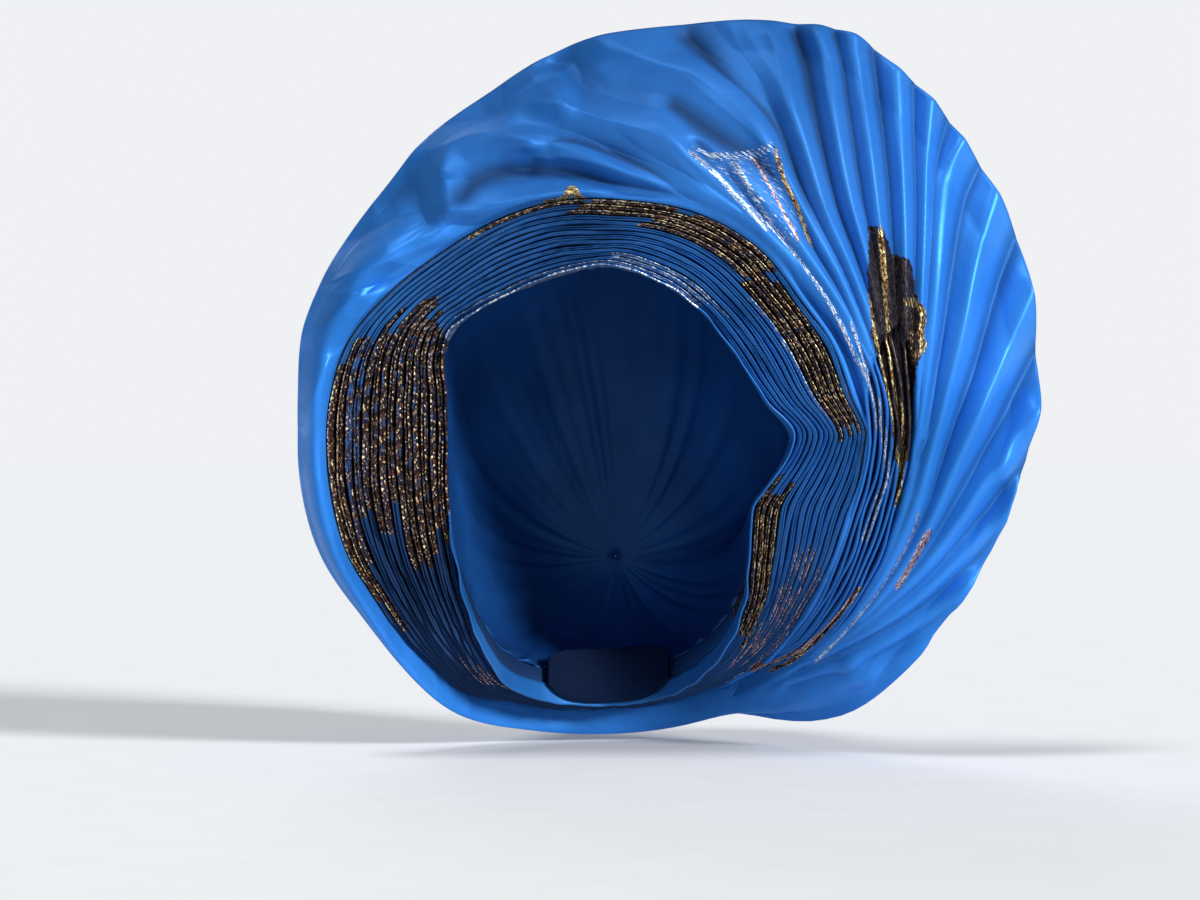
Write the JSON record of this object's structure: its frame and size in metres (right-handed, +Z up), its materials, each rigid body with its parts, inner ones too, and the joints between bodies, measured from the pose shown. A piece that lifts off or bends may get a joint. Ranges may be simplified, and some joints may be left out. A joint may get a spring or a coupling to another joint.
{
  "type": "pre-tied head tie",
  "caption": "Pre-tied stiff cloth head tie: a hollow crown, a stack of pressed folds round the face opening, and a wide fanned brim.",
  "frame": {"origin": "the seat: the inside of the crown's top, where the top of the head bears", "axes": "+Z up, the face opening looks along -Y, +X is the wearer's left"},
  "size_m": [0.3383, 0.2134, 0.3325],
  "materials": {
    "fan_cloth": "stiff satin-faced taffeta, azure",
    "fold_cloth": "the same taffeta, pressed into folds, with woven metal-thread motifs",
    "brow_cloth": "selvedge with woven silver and gold thread",
    "crown_cloth": "the taffeta's darker wrong side, softly gathered",
    "nape_tape": "plain woven tape, matt"
  },
  "bodies": {
    "root": {"crown_top": "crown_cloth", "crown_right": "crown_cloth", "crown_nape": "crown_cloth", "crown_left": "crown_cloth", "brow_band": "brow_cloth", "nape_band": "nape_tape", "fold_01": "fold_cloth", "fold_02": "fold_cloth", "fold_03": "fold_cloth", "fold_04": "fold_cloth", "fold_05": "fold_cloth", "fold_06": "fold_cloth", "fold_07": "fold_cloth", "fold_08": "fold_cloth", "fold_09": "fold_cloth", "fold_10": "fold_cloth", "fold_11": "fold_cloth", "fold_12": "fold_cloth", "fold_13": "fold_cloth", "fold_14": "fold_cloth", "fan": "fan_cloth"}
  },
  "joints": []
}
